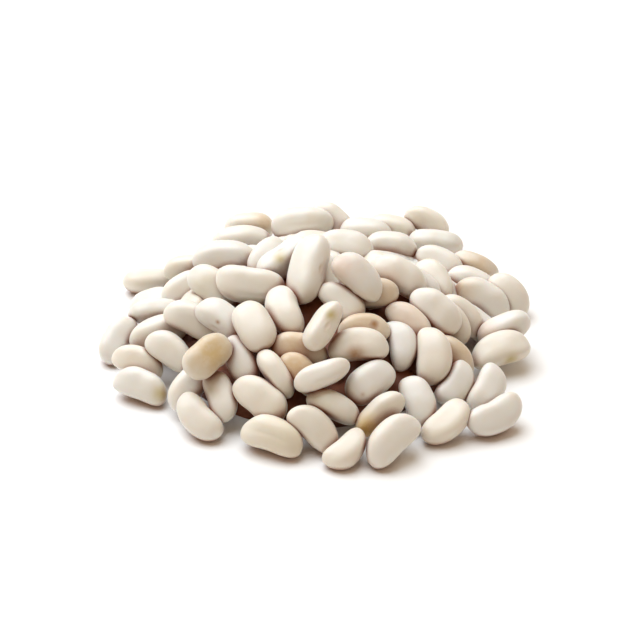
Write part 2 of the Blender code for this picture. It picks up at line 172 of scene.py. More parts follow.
# How full a bean is all round (2 is a plain oval), and the square of the place where its middle line, which
# sways up and down, crosses its long axis (0 at its middle and 1 at its ends).
SIDE_ROUNDNESS = 2.8
SWAY_CROSSING = 0.33

# How often a ball is divided for each bean: for those that the photograph shows, and for the others.
SHOWN_FINENESS = 5
UNSEEN_FINENESS = 4

# The broad dents all over a bean: how deep the longest is, and how far it is from one to the next (mm).
DENT_DEPTH = 0.11
DENT_LENGTHS = (5.5, 8.0, 12.0)

# The hollow on the side where the bean hung in its pod: its depth and half its length (mm).
HOLLOW_DEPTH = 0.22
HOLLOW_LENGTH = 2.4

# The scar where the bean hung in its pod (mm): half its length and width, its rim and its sunk middle.
SCAR_LENGTH = 1.25
SCAR_WIDTH = 0.62
SCAR_RIM = 0.10
SCAR_SINK = 0.12

# As shares of the scar's size: where its rim is, how wide rim and sunk middle are, how far its tint goes.
SCAR_RIM_AT = 1.1
SCAR_RIM_WIDTH = 0.4
SCAR_SINK_WIDTH = 0.8
SCAR_TINT_WIDTH = 1.25

# The knob beside the scar (mm): its height, its place along the bean and its width.
KNOB_HEIGHT = 0.14
KNOB_AT = 2.2
KNOB_WIDTH = 0.55

# Lengthwise creases on the beans that dried more: bean, angle round it (degrees), from and to along it
# (-1 to 1), and depth (mm). Below 0 the crease is a ridge.
CREASES = (
    ("top_6", -62, -0.1, 0.75, 0.16),
    ("top_6", -38, -0.85, 0.8, -0.22),
    ("top_6", -50, 0.0, 0.6, 0.12),
    ("upper_left_5", -70, -0.6, 0.5, 0.18),
    ("upper_left_5", -40, -0.7, 0.6, -0.12),
    ("far_middle_1", 80, -0.6, 0.7, 0.14),
    ("upper_left_6", 60, -0.7, 0.5, 0.10),
    ("front_left_1", 95, -0.6, 0.6, 0.10),
)

# How wide a crease and a ridge are (degrees), and how far each fades at its ends (of half the bean).
CREASE_WIDTH = 7.0
RIDGE_WIDTH = 16.0
CREASE_FADE = 0.25

# Patches of colour on single beans: bean, picture column and row of the patch (px), its radius (mm), its
# colour by name, and how strong it is. The tan and pink ones are painted shade on the shaded ends and sides
# of beans; the golden, amber, olive and brown ones are the beans' own tints, scars and specks.
PATCHES_AND_PAINTED_SHADE = (
    ("lower_left_1", 213, 352, 7.5, "golden", 0.85),
    ("far_left_1", 266, 222, 4.0, "painted_shade_tan", 0.6),
    ("upper_right_12", 478, 266, 7.0, "painted_shade_tan", 0.6),
    ("right_middle_8", 367, 430, 3.4, "amber", 0.85),
    ("left_9", 162, 394, 2.4, "olive", 0.7),
    ("right_4", 511, 360, 1.7, "olive", 0.85),
    ("right_middle_1", 331, 315, 1.3, "olive", 0.8),
    ("upper_left_5", 280, 258, 1.6, "olive", 0.7),
    ("right_middle_7", 320, 400, 5.0, "olive", 0.25),
    ("right_middle_3", 356, 354, 2.3, "brown", 0.9),
    ("top_7", 340, 266, 4.5, "painted_shade_pink", 0.45),
    ("upper_right_14", 484, 331, 3.8, "painted_shade_pink", 0.5),
    ("upper_right_6", 386, 282, 4.2, "painted_shade_pink", 0.5),
    ("upper_right_10", 461, 288, 3.6, "painted_shade_tan", 0.6),
    ("right_middle_2", 362, 318, 8.0, "painted_shade_tan", 0.55),
    ("right_middle_2", 374, 324, 1.5, "brown", 0.95),
    ("upper_left_8", 218, 322, 0.5, "brown", 0.95),
    ("right_middle_5", 362, 395, 0.5, "brown", 0.45),
    ("middle_4", 297, 349, 8.0, "painted_shade_tan", 0.65),
    ("middle_5", 294, 369, 9.0, "painted_shade_tan", 0.8),
    ("right_2", 460, 350, 8.0, "painted_shade_tan", 0.5),
    ("top_9", 390, 292, 8.0, "painted_shade_tan", 0.5),
    ("right_10", 405, 318, 8.0, "painted_shade_pink", 0.35),
    ("upper_left_7", 206, 288, 6.0, "olive", 0.2),
    ("front_left_1", 290, 432, 8.0, "olive", 0.2),
    ("left_9", 129, 397, 0.5, "brown", 0.9),
)

# The tan and pink colours are painted shade; the others are the beans' own colours.
PATCH_AND_SHADE_COLOURS = {
    "golden": "#C0A062",
    "painted_shade_tan": "#C8A674",
    "amber": "#E6C05A",
    "olive": "#B9A558",
    "brown": "#A0703C",
    "painted_shade_pink": "#CBA487",
}

# A patch is put only where the bean faces the viewer at least this much (1 is straight at them).
PATCH_FACING = 0.1

# The core under the beans (mm), the counts of its rings, sides and bumps, and how near two of its points
# are made one.
CORE_RADIUS = 38.0
CORE_DEPTH = 3.0
CORE_BUMP_HEIGHT = 3.0
CORE_RINGS = 60
CORE_SIDES = 180
CORE_BUMPS = 60
CORE_SEED = 3
CORE_MERGE = 0.01
USUAL_LENGTH = 15.0
USUAL_WIDTH = 9.0

# Colours of the dried seed coat: its tones from one bean to another, and how far along them the middle one
# lies, its clouds, and the dark brown painted shade where beans crowd together.
COAT_GREY = "#DFDDD7"
COAT_CREAM = "#E2DED5"
COAT_WARM = "#E2DBCD"
COAT_CREAM_AT = 0.45
COAT_CLOUD = "#DDD3C2"
COAT_PAINTED_SHADE = "#8A4216"

# The colour of the scar and how strong it is, and the dark browns painted on the core as shade of the beans
# deep inside the heap.
SCAR_COLOUR = "#C9A57C"
SCAR_TINT = 0.25
CORE_SHADE_DARK = "#5A2812"
CORE_SHADE_LIGHT = "#84492A"
CORE_DARK_TO = 0.35
CORE_LIGHT_FROM = 0.65

# Real sizes of the patterns (mm). The pores of a real seed coat are finer than this, and are drawn as
# coarse as it takes to show them in the picture.
CLOUD_MM = 5.0
PATCH_EDGE_MM = 1.6
SOFT_DENT_MM = 3.0
PORE_MM = 0.35
CORE_CLOUD_MM = 6.0
BOARD_CLOUD_MM = 40.0

# How near other beans have to be for a place to get the painted shade (mm), and how many ways it looks for
# them.
PAINTED_SHADE_REACH_MM = 4.0
PAINTED_SHADE_LOOKS = 8

# What a pattern's values are turned into: a share of the clouds, of the patches and of the painted brown
# shade between crowded beans, and the roughness that gives the seed coat its uneven gloss.
CLOUD_SHARE = {"From Min": 0.45, "From Max": 0.75, "To Min": 0.0, "To Max": 0.5}
PATCH_SHARE = {"From Min": 0.3, "From Max": 0.6, "To Min": 0.8, "To Max": 1.0}
PAINTED_SHADE_SHARE = {"From Min": 0.15, "From Max": 0.75, "To Min": 1.0, "To Max": 0.0}
COAT_ROUGHNESS = {"From Min": 0.3, "From Max": 0.7, "To Min": 0.28, "To Max": 0.4}

# How deep the soft dents and the pores look.
SOFT_DENTS = {"Strength": 0.35, "Distance": 0.25 * MM}
PORES = {"Strength": 0.25, "Distance": 0.03 * MM}

# How each material takes the light: the seed coat lets some of it in, red the deepest, and has a faint
# sheen.
SEED_COAT = {
    "IOR": 1.47,
    "Subsurface Weight": 0.3,
    "Subsurface Radius": (1.0, 0.55, 0.32),
    "Subsurface Scale": 1.6 * MM,
    "Sheen Weight": 0.25,
    "Sheen Roughness": 0.35,
}
PAINTED_SHADE_COAT = {"IOR": 1.47, "Roughness": 0.6}
MATT_PAINT = {"IOR": 1.5, "Roughness": 0.7}

# The sockets of a colour mix: its share, its two colours and its result.
MIX_SHARE, MIX_ONE, MIX_TWO, MIXED = 0, 6, 7, 2

# The white ground (half its width in mm, and the two whites of its paint) and the room's light.
FLOOR_HALF = 3000.0
BOARD_WHITES = ("#F4F4F3", "#F7F7F6")
ROOM_COLOUR = "#FFE2C0"
ROOM_STRENGTH = 0.45

# Each lamp: name, place and width (mm), power (W) and colour. All of them point at one place (mm).
LIGHTS = (
    ("soft_light_from_above_left", (-210.0, 215.0, 620.0), 960.0, 9.0, "#EDF6FF"),
)
LIGHTS_AIM = (0.0, 0.0, 8.0)

# The camera's sensor, and the nearest and the farthest that it sees (mm).
SENSOR_MM = 36.0
NEAREST_MM = 50.0
FARTHEST_MM = 20000.0



# Each visible bean, from the lowest layer to the top one: its name, the picture column and row of its
# middle (px), the direction of its long axis in the picture (degrees from the right, anticlockwise), how
# far that end tips towards the viewer and how far the bean rolls about its long axis (degrees, 0 with a
# broad side towards the viewer and 90 with its back towards them), its length and width, and how far its
# ends bend back from its middle (mm).
LAYERS = (
    (
        ("far_left_1", 249, 228, 3, 0, -30, 14.0, 8.2, 0.8),
        ("far_middle_2", 333, 225, -45, 0, 0, 15.0, 8.1, 1.0),
        ("far_middle_3", 366, 233, -5, 0, -40, 15.0, 8.1, 1.0),
        ("far_right_1", 390, 233, -10, 0, -30, 15.0, 8.1, 1.0),
        ("far_right_2", 427, 224, -30, 0, -20, 13.5, 7.5, 0.8),
        ("left_3", 157, 313, 3, 0, -60, 15.5, 7.2, 1.0),
        ("left_4", 118, 340, 60, -20, 0, 14.0, 7.6, 1.0),
        ("middle_4", 299, 349, -8, 0, 0, 14.5, 7.8, 1.0),
        ("middle_5", 298, 378, -50, 0, 0, 13.0, 7.0, 1.0),
        ("upper_right_12", 475, 269, -25, 0, -60, 14.0, 7.0, 1.0),
        ("upper_left_9", 189, 271, 0, 0, -30, 14.0, 7.4, 1.0),
        ("top_9", 373, 296, 6, 0, 0, 13.5, 7.6, 0.6),
    ),
    (
        ("far_middle_1", 303, 224, 6, 0, -20, 17.5, 9.5, 0.3),
        ("far_left_2", 241, 242, 4, 0, -50, 16.5, 8.7, 0.8),
        ("far_right_3", 436, 244, -8, 0, -60, 15.5, 7.6, 0.8),
        ("far_right_4", 391, 249, -6, 0, -30, 14.5, 7.8, 0.8),
        ("upper_right_4", 434, 284, -60, 20, 0, 14.0, 7.6, 1.0),
        ("upper_left_4", 266, 257, 55, -20, 0, 13.0, 7.0, 0.8),
        ("left_1", 150, 282, 3, 0, -60, 15.0, 7.2, 1.0),
        ("left_2", 184, 289, 35, -10, 0, 14.0, 7.4, 1.0),
        ("left_5", 158, 334, 20, 0, -20, 16.0, 8.4, 0.8),
        ("left_7", 138, 363, -20, 10, 0, 14.2, 7.6, 1.0),
        ("lower_left_2", 190, 388, 52, -20, 0, 14.5, 7.8, 0.8),
        ("lower_left_5", 241, 362, -64, 20, -20, 14.0, 8.0, 0.3),
        ("right_middle_2", 366, 330, 0, 0, 0, 13.5, 7.3, 1.0),
        ("right_middle_5", 370, 382, 38, -20, 0, 14.2, 9.0, 0.2),
        ("right_middle_7", 335, 409, -25, 0, -70, 14.2, 7.7, 1.0),
        ("right_10", 412, 322, -45, 10, 0, 14.5, 7.8, 1.0),
        ("upper_right_9", 460, 316, -40, 0, 0, 14.0, 7.6, 1.0),
        ("upper_right_14", 502, 329, 25, 0, -40, 15.0, 8.1, 0.4),
        ("upper_right_13", 509, 297, -50, 0, 0, 14.0, 7.6, 1.0),
        ("right_2", 452, 356, -40, 0, 0, 13.5, 7.3, 1.0),
    ),
    (
        ("top_3", 345, 248, -8, 0, 20, 15.5, 8.4, 1.0),
        ("upper_right_3", 441, 263, -30, 10, 0, 14.5, 7.8, 1.0),
        ("top_8", 339, 301, -40, 10, 0, 14.0, 7.6, 1.0),
        ("upper_left_3", 224, 260, 2, 0, -30, 17.0, 9.2, 1.0),
        ("upper_left_7", 212, 288, -40, 10, 0, 15.0, 9.0, 0.3),
        ("left_6", 192, 322, -28, 0, -10, 15.0, 8.1, 1.0),
        ("left_9", 140, 388, -20, 15, 0, 14.8, 8.0, 1.3),
        ("left_8", 170, 352, -38, 10, -10, 14.0, 7.6, 0.8),
        ("lower_left_3", 199, 417, 132, -20, 0, 14.8, 7.9, 1.0),
        ("lower_left_4", 220, 397, -73, 25, 0, 14.0, 7.6, 0.6),
        ("upper_left_8", 221, 319, -33, 10, 35, 14.5, 7.8, 1.0),
        ("lower_left_6", 263, 398, -37, 10, 0, 15.6, 9.2, 0.6),
        ("right_middle_4", 322, 375, 23, 0, -80, 15.0, 8.1, 1.3),
        ("right_middle_3", 358, 346, 3, 0, 15, 15.5, 8.4, 1.3),
        ("front_left_2", 314, 429, -42, 0, 0, 15.0, 8.1, 1.3),
        ("right_middle_8", 378, 413, 42, 0, -30, 15.0, 6.7, 0.5),
        ("right_middle_6", 398, 347, -76, 20, 0, 13.5, 7.3, 2.0),
        ("upper_right_8", 450, 325, -50, 0, 0, 14.0, 7.6, 1.0),
        ("upper_right_11", 473, 285, -25, 0, -30, 15.0, 8.1, 1.0),
        ("right_4", 500, 350, 18, -12, 25, 16.2, 8.7, 1.3),
        ("right_3", 455, 384, 237, 20, 0, 12.9, 7.8, 1.4),
        ("right_5", 486, 390, 240, 20, 0, 13.8, 8.1, 1.4),
        ("upper_right_5", 421, 290, -35, 0, 0, 14.5, 7.8, 1.0),
    ),
    (
        ("upper_right_6", 400, 277, -33, 0, 10, 15.8, 8.5, 1.0),
        ("upper_left_6", 250, 284, 172, 0, 0, 17.8, 9.6, 1.0),
        ("middle_2", 287, 311, 115, -30, 0, 15.0, 8.4, 0.5),
        ("lower_left_1", 208, 357, 42, -30, 0, 14.5, 9.0, 0.3),
        ("middle_3", 276, 374, -56, 10, -80, 13.9, 7.4, 1.0),
        ("front_left_1", 273, 436, -19, 15, 0, 16.3, 8.8, 1.5),
        ("front_1", 346, 450, 222, 15, -30, 12.8, 7.0, 1.6),
        ("front_2", 393, 441, 43, -18, 0, 16.4, 8.9, 1.5),
        ("upper_right_7", 434, 313, -39, 5, 0, 15.3, 8.7, 0.4),
        ("upper_right_10", 483, 298, -28, 0, -10, 16.0, 8.8, 0.9),
        ("right_1", 432, 356, -89, 15, 0, 15.0, 9.2, 1.5),
        ("right_8", 417, 402, -70, 20, 0, 13.7, 8.2, 1.1),
        ("right_7", 495, 415, 208, 18, 0, 15.6, 8.4, 1.4),
        ("right_6", 446, 422, 223, 15, -30, 14.5, 7.9, 0.8),
    ),
    (
        ("top_7", 358, 277, -43, 0, 10, 15.5, 8.4, 1.0),
        ("right_middle_1", 323, 326, 57, -10, 75, 14.2, 7.8, 1.3),
        ("middle_1", 253, 327, -60, 25, 0, 14.2, 9.5, 0.3),
        ("upper_left_5", 284, 260, 215, 10, 50, 16.0, 8.6, 1.3),
    ),
    (
        ("top_6", 309, 274, 75, -16, 50, 19.4, 10.2, 0.8),
    ),
)

TILT = math.radians(VIEW_ELEVATION)
TO_VIEWER = np.array([0.0, -math.cos(TILT), math.sin(TILT)])
ACROSS = np.array([1.0, 0.0, 0.0])
UPWARD = np.cross(TO_VIEWER, ACROSS)
EYE = VIEW_AIM + VIEW_DISTANCE * TO_VIEWER
GOLDEN_ANGLE = math.pi * (3 - math.sqrt(5))


def unit(vectors):
    return vectors / np.maximum(np.linalg.norm(vectors, axis=-1, keepdims=True), 1e-9)


def turn(axis, degrees):
    """Matrix of a rotation about an axis."""
    x, y, z = axis
    cross = np.array([[0, -z, y], [z, 0, -x], [-y, x, 0]])
    angle = math.radians(degrees)
    return np.eye(3) + math.sin(angle) * cross + (1 - math.cos(angle)) * cross @ cross


def mound_top(x, y):
    reach = np.minimum(np.hypot(x, y) / MOUND_RADIUS, 1.0)
    return MOUND_HEIGHT * (1 - reach ** MOUND_POWER)


def in_picture(points):
    """Picture column, picture row and depth of each point."""
    away = points - EYE
    depth = -away @ TO_VIEWER
    column = VIEW_MIDDLE_PX + VIEW_FOCUS_PX * (away @ ACROSS) / depth
    row = VIEW_MIDDLE_PX - VIEW_FOCUS_PX * (away @ UPWARD) / depth
    return np.stack([column, row, depth], axis=-1)


def axes_from_view(heading, nod, roll):
    """A bean's three axes, as the columns of a matrix, from its directions in the picture."""
    heading, nod = math.radians(heading), math.radians(nod)
    flat = math.cos(heading) * ACROSS + math.sin(heading) * UPWARD
    along = math.cos(nod) * flat + math.sin(nod) * TO_VIEWER
    facing = math.cos(nod) * TO_VIEWER - math.sin(nod) * flat
    return turn(along, -roll) @ np.stack([along, np.cross(facing, along), facing], axis=1)


def axes_on_mound(x, y, heading, nod, roll):
    """A bean's axes where it lies on the mound, and the direction that faces outwards there."""
    reach = math.hypot(x, y)
    share = min(reach / MOUND_RADIUS, 1.0)
    slope = MOUND_HEIGHT * MOUND_POWER / MOUND_RADIUS * share ** (MOUND_POWER - 1)
    outward = unit(np.array([slope * x / reach, slope * y / reach, 1.0]))
    along = turn(outward, heading) @ unit(np.cross([0.0, 1.0, 0.0], outward))
    axes = np.stack([along, np.cross(outward, along), outward], axis=1)
    return turn(axes[:, 0], roll) @ turn(axes[:, 1], nod) @ axes, outward


def bean_balls(size, axes):
    """Middles and radii of the balls that stand for a bean while the heap is laid out."""
    length, width, bend = size
    along = np.repeat(BALL_PLACES, 2)
    side = np.tile([-1.0, 1.0], len(BALL_PLACES))
    radii = BEAN_FLATNESS * width / 2 * np.sqrt(1 - np.abs(along) ** BEAN_FULLNESS)
    out = bend * (BEND_CROSSING - along ** 2) + side * (1 - BEAN_FLATNESS) / BEAN_FLATNESS * radii
    middles = np.stack([along * length / 2, out, np.zeros(len(along))], axis=1)
    return middles @ axes.T, np.minimum(radii, BALL_MOST * (1 - np.abs(along)) * length / 2)


def start_on_sight(column, row, lift):
    """Where the line of sight through a pixel meets the outer beans or passes nearest to them."""
    across, down = column - VIEW_MIDDLE_PX, row - VIEW_MIDDLE_PX
    way = unit(across * ACROSS - down * UPWARD - VIEW_FOCUS_PX * TO_VIEWER)
    points = EYE + np.arange(SIGHT_FROM, SIGHT_TO, SIGHT_STEP)[:, None] * way
    rest = np.maximum(mound_top(points[:, 0], points[:, 1]) + BEAN_OVER_MOUND, BEAN_OVER_MOUND)
    over = np.where(np.hypot(points[:, 0], points[:, 1]) < RIM_RADIUS, points[:, 2] - rest, np.inf)
    nearest = np.argmax(over <= 0) if over.min() <= 0 else np.argmin(over)
    return points[nearest] - lift * way, way


def press_together(middles, ways, layers, offsets, radii):
    """Press the beans along their lines of sight, and part each two that sink in too far."""
    for count in range(ROUNDS):
        middles = middles + PRESS * (1 - count / ROUNDS) * ways
        away = middles - EYE
        middles = middles - SIGHT_SHARE * (away - np.sum(away * ways, axis=1, keepdims=True) * ways)
        for _ in range(PUSHES):
            near = np.linalg.norm(middles[:, None] - middles, axis=2) < NEIGHBOUR_REACH
            one, two = np.nonzero(np.triu(near, 1))
            balls = middles[:, None] + offsets
            apart = balls[one][:, :, None] - balls[two][:, None]
            reach = radii[one][:, :, None] + radii[two][:, None] - SINK
            overlap = (reach - np.linalg.norm(apart, axis=3)).reshape(len(one), -1)
            pair = np.arange(len(one))
            worst = overlap.argmax(axis=1)
            push = unit(apart.reshape(len(one), -1, 3)[pair, worst])
            upper = np.sign(layers[one] - layers[two])[:, None]
            push = unit(push + LAYER_SHARE * upper * TO_VIEWER)
            push *= PUSH_SHARE * np.maximum(overlap[pair, worst], 0)[:, None]
            np.add.at(middles, one, push)
            np.add.at(middles, two, -push)
            middles[:, 2] += lift_out(middles, offsets, radii)
    return middles


def lift_out(middles, offsets, radii):
    """How far each bean has to rise to lie on the mound and on the floor."""
    balls = middles[:, None] + offsets
    bottom = balls[..., 2] - radii
    on_mound = np.hypot(balls[..., 0], balls[..., 1]) < MOUND_RADIUS
    over = np.where(on_mound, bottom - mound_top(balls[..., 0], balls[..., 1]) + SINK, np.inf)
    return np.maximum(0, -np.minimum(over, bottom).min(axis=1))


def free_slide(start, way, offsets, radii, other_balls, other_radii, sink, rest):
    """How far a bean slides from start until it touches a bean, the mound or the floor."""
    balls = start + offsets
    to_others = other_balls - balls[:, None]
    along = to_others @ way
    aside = np.sum(to_others ** 2, axis=2) - along ** 2
    touch = (radii[:, None] + other_radii - sink) ** 2
    contact = np.where(aside < touch, along - np.sqrt(np.maximum(touch - aside, 0)), np.inf)
    to_floor = np.min((balls[:, 2] - radii) / max(-way[2], 1e-6))
    steps = np.arange(0, SLIDE, SLIDE_STEP)
    path = start + steps[:, None] * way
    sunk = path[:, 2] < mound_top(path[:, 0], path[:, 1]) + rest
    sunk &= np.hypot(path[:, 0], path[:, 1]) < MOUND_RADIUS
    to_mound = steps[np.argmax(sunk)] if np.any(sunk) else np.inf
    return min(contact.min(), to_floor, to_mound)


def lay_visible():
    """The beans of LAYERS: their middles, axes, sizes, and the balls that stand for them."""
    rows = [(bean[1:], layer) for layer, beans in enumerate(LAYERS) for bean in beans]
    layers = np.array([float(layer) for _, layer in rows])
    starts = [start_on_sight(bean[0], bean[1], LAYER_LIFT * layer) for bean, layer in rows]
    axes = np.array([axes_from_view(*bean[2:5]) for bean, _ in rows])
    sizes = np.array([bean[5:8] for bean, _ in rows])
    balls = [bean_balls(size, axis) for size, axis in zip(sizes, axes)]
    offsets = np.array([ball[0] for ball in balls])
    radii = np.array([ball[1] for ball in balls])
    middles = np.array([start[0] for start in starts])
    ways = np.array([start[1] for start in starts])
    return press_together(middles, ways, layers, offsets, radii), axes, sizes, offsets, radii


def is_below_skyline(middle, axes, size, visible):
    """Whether a bean lies lower in the picture than the farthest visible ones."""
    for column, row, _ in in_picture(middle + np.outer(SKYLINE_PLACES, size[0] * axes[:, 0])):
        tops = visible[np.abs(visible[:, 0] - column) < SKYLINE_PX, 1]
        if not len(tops) or row < tops.min() + SKYLINE_GAP_PX:
            return False
    return True


def is_in_front(middle, visible):
    """Whether a bean lies in front of the middle of a visible one."""
    column, row, depth = in_picture(middle)
    covers = (np.abs(visible[:, 0] - column) < FRONT_SIDE_PX) & (visible[:, 2] > depth - FRONT_DEPTH)
    covers &= (visible[:, 1] > row - FRONT_ABOVE_PX) & (visible[:, 1] < row + FRONT_BELOW_PX)
    return np.any(covers)


def way_back(balls, visible_balls):
    """How far a bean has to go from the viewer to lie behind every visible one that it meets."""
    own = in_picture(balls)[:, None]
    meets = np.hypot(own[..., 0] - visible_balls[:, 0], own[..., 1] - visible_balls[:, 1]) < MEET_PX
    return max(0.0, np.where(meets, visible_balls[:, 2] + BEHIND - own[..., 2], 0.0).max())


def lay_unseen(middles, axes, sizes, offsets, radii):
    """Add beans on the far side, and deeper ones wherever a gap is left, to those already lying."""
    rng = np.random.default_rng(SEED)
    visible = in_picture(middles)
    beans = list(zip(middles, axes, sizes))
    balls, ball_radii = (middles[:, None] + offsets).reshape(-1, 3), radii.reshape(-1)
    visible_balls = in_picture(balls)
    for fill in FILLS:
        for spot in range(SPOTS):
            reach = SPOT_RADIUS * math.sqrt((spot + 0.5) / SPOTS)
            x, y = reach * math.cos(spot * GOLDEN_ANGLE), reach * math.sin(spot * GOLDEN_ANGLE)
            first, roll = rng.uniform(0, 360), rng.normal(0, ROLL_SPREAD)
            nod, length = rng.normal(0, NOD_SPREAD), rng.normal(UNSEEN_LENGTH, LENGTH_SPREAD)
            size = np.array([length, BEAN_SLIMNESS * length, BEAN_BEND * rng.uniform(*BEND_RANGE)])
            if y < fill["from_y"] or reach > fill["within"]:
                continue
            tries = []
            for heading in range(0, 180, HEADING_STEP):
                axis, outward = axes_on_mound(x, y, first + heading, nod, roll)
                offset, radius = bean_balls(size, axis)
                start = np.array([x, y, mound_top(x, y)]) + DROP * outward
                slide = free_slide(
                    start, -outward, offset, radius, balls, ball_radii, fill["sink"], fill["rest"]
                )
                tries.append((slide, start - slide * outward, axis, offset, radius))
            _, middle, axis, offset, radius = max(tries, key=lambda found: found[0])
            if middle[2] > max(mound_top(middle[0], middle[1]) + fill["highest"], FLOOR_REST):
                continue
            if math.hypot(middle[0], middle[1]) > SPOT_RADIUS:
                continue
            back = way_back(middle + offset, visible_balls)
            if fill["kind"] == "far" and (back > 0 or is_in_front(middle, visible)):
                continue
            middle = middle - back * TO_VIEWER
            if fill["kind"] != "deep" and not is_below_skyline(middle, axis, size, visible):
                continue
            if np.min(middle[2] + offset[:, 2] - radius) < 0:
                continue
            beans.append((middle, axis, size))
            balls, ball_radii = np.vstack([balls, middle + offset]), np.hstack([ball_radii, radius])
    return beans


def bean_surface(points, size):
    """Move points of a unit sphere, with its poles at +-X, onto a bean (mm)."""
    length, width, bend = size
    along, side, up = points.T
    ring = np.maximum(np.hypot(side, up), 1e-9)
    full = width / 2 * np.sqrt(np.maximum(1 - np.abs(along) ** BEAN_FULLNESS, 0)) / ring
    middle_line = bend * (BEND_CROSSING - along ** 2)
    return np.stack([along * length / 2, full * side + middle_line, BEAN_FLATNESS * full * up], axis=1)


def from_hex(colour):
    """Linear red, green, blue and alpha of an sRGB hex colour."""
    linear = []
    for at in (1, 3, 5):
        share = int(colour[at:at + 2], 16) / 255
        linear.append(share / 12.92 if share <= 0.04045 else ((share + 0.055) / 1.055) ** 2.4)
    return linear + [1.0]


def draw_shapes(count):
    """How each bean differs from the usual one."""
    rng = np.random.default_rng(LOOKS_SEED)
    shapes = []
    for _ in range(count):
        shapes.append({
            "thickness": 1 + THICKNESS_SPREAD * rng.normal(),
            "taper": TAPER_SPREAD * rng.uniform(-1, 1),
            "sway": SWAY_SPREAD * rng.normal(),
            "hollow": rng.uniform(*HOLLOW_SPREAD),
            "ways": unit(rng.normal(size=(len(DENT_LENGTHS), 3))),
            "shifts": rng.uniform(0, 2 * math.pi, len(DENT_LENGTHS)),
            "tone": rng.uniform(0, 1),
            "grain": rng.uniform(0, GRAIN_SPREAD, 3),
        })
    return shapes


def ways_out(sphere, size):
    """The way out of an even bean at each point of a unit sphere."""
    return unit(sphere / np.array([size[0], size[1], BEAN_FLATNESS * size[1]]))


def dent_lift(bean, shape):
    """How far broad dents lift or sink each point of a bean (mm)."""
    lift = np.zeros(len(bean))
    for way, shift, wave in zip(shape["ways"], shape["shifts"], DENT_LENGTHS):
        lift += DENT_DEPTH * wave / DENT_LENGTHS[-1] * np.sin(2 * math.pi * bean @ way / wave + shift)
    return lift


def crease_lift(along, angle, creases):
    """How far lengthwise creases and ridges lift or sink each point of a bean (mm)."""
    lift = np.zeros(len(along))
    for _, around, start, end, depth in creases:
        apart = (angle - around + 180) % 360 - 180
        inside = np.clip((along - start) / CREASE_FADE, 0, 1) * np.clip((end - along) / CREASE_FADE, 0, 1)
        lift -= depth * inside * np.exp(-(apart / (CREASE_WIDTH if depth > 0 else RIDGE_WIDTH)) ** 2)
    return lift


def scar_lift(along, across, scar_side):
    """How far the scar and its knob lift or sink each point (mm), and how much each point is in the scar."""
    away = np.where(scar_side, np.hypot(along / SCAR_LENGTH, across / SCAR_WIDTH), np.inf)
    rim = SCAR_RIM * np.exp(-((away - SCAR_RIM_AT) / SCAR_RIM_WIDTH) ** 2)
    sink = SCAR_SINK * np.exp(-(away / SCAR_SINK_WIDTH) ** 2)
    from_knob = np.hypot(along - KNOB_AT, across) / KNOB_WIDTH
    knob = KNOB_HEIGHT * np.exp(-from_knob ** 2) * scar_side
    return rim - sink + knob, np.exp(-(away / SCAR_TINT_WIDTH) ** 4)


def fine_bean(sphere, size, shape, creases):
    """Points of a unit sphere moved onto one smooth, uneven bean (mm), and how much each is in its scar."""
    bean = bean_surface(sphere, size)
    along = sphere[:, 0]
    side, up = unit(sphere[:, 1:] + 1e-9).T
    fullness = (np.abs(side) ** SIDE_ROUNDNESS + np.abs(up) ** SIDE_ROUNDNESS) ** (-1 / SIDE_ROUNDNESS)
    fullness *= 1 + shape["taper"] * along
    middle_line = size[2] * (BEND_CROSSING - along ** 2)
    bean[:, 1] = middle_line + (bean[:, 1] - middle_line) * fullness
    sway = shape["sway"] * (SWAY_CROSSING - along ** 2)
    bean[:, 2] = sway + bean[:, 2] * fullness * shape["thickness"]
    inner = np.maximum(-side, 0) ** 2
    bean[:, 1] += HOLLOW_DEPTH * shape["hollow"] * inner * np.exp(-(bean[:, 0] / HOLLOW_LENGTH) ** 2)

    scar_height, scar = scar_lift(bean[:, 0], bean[:, 2] - sway, side < 0)
    angle = np.degrees(np.arctan2(up, side))
    lift = dent_lift(bean, shape) + crease_lift(along, angle, creases) + scar_height
    return bean + lift[:, None] * ways_out(sphere, size), scar


def paint_patches_and_shade(name, points, normals):
    """The colour and strength of a bean's patches, own tints and painted shade, at each of its points (mm).
    """
    colours = np.zeros((len(points), 4))
    seen = in_picture(points)
    facing = normals @ TO_VIEWER > PATCH_FACING
    for _, column, row, radius, colour, strength in (patch for patch in PATCHES_AND_PAINTED_SHADE if patch[0] == name):
        off = np.where(facing, np.hypot(seen[:, 0] - column, seen[:, 1] - row), np.inf)
        reach = np.linalg.norm(points - points[np.argmin(off)], axis=1) / radius
        share = strength * np.exp(-reach ** 2)
        stronger = share > colours[:, 3]
        colours[stronger, :3] = from_hex(PATCH_AND_SHADE_COLOURS[colour])[:3]
        colours[:, 3] = np.maximum(colours[:, 3], share)
    return colours


def new_piece(name, points, faces):
    """A smooth mesh object from points in mm and faces."""
    mesh = bpy.data.meshes.new(name)
    mesh.from_pydata((points * MM).tolist(), [], [tuple(face) for face in faces])
    mesh.shade_smooth()
    thing = bpy.data.objects.new(name, mesh)
    bpy.context.scene.collection.objects.link(thing)
    return thing


def add_attribute(thing, name, kind, field, values):
    layer = thing.data.attributes.new(name, kind, "POINT")
    layer.data.foreach_set(field, np.asarray(values, dtype=np.float32).ravel())


def unit_sphere(fineness):
    """Points and triangles of an even sphere."""
    shape = bmesh.new()
    bmesh.ops.create_icosphere(shape, subdivisions=fineness, radius=1.0)
    points = np.array([vert.co[:] for vert in shape.verts])
    faces = np.array([[vert.index for vert in face.verts] for face in shape.faces])
    shape.free()
    return points, faces


def nudge(points):
    """How far a bean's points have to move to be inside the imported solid's box and off the floor."""
    low = np.array([cad_low[0], cad_low[1], 0.0]) / MM + FLOOR_GAP
    high = np.array(cad_high) / MM - FLOOR_GAP
    return np.maximum(0, low - points.min(axis=0)) - np.maximum(0, points.max(axis=0) - high)


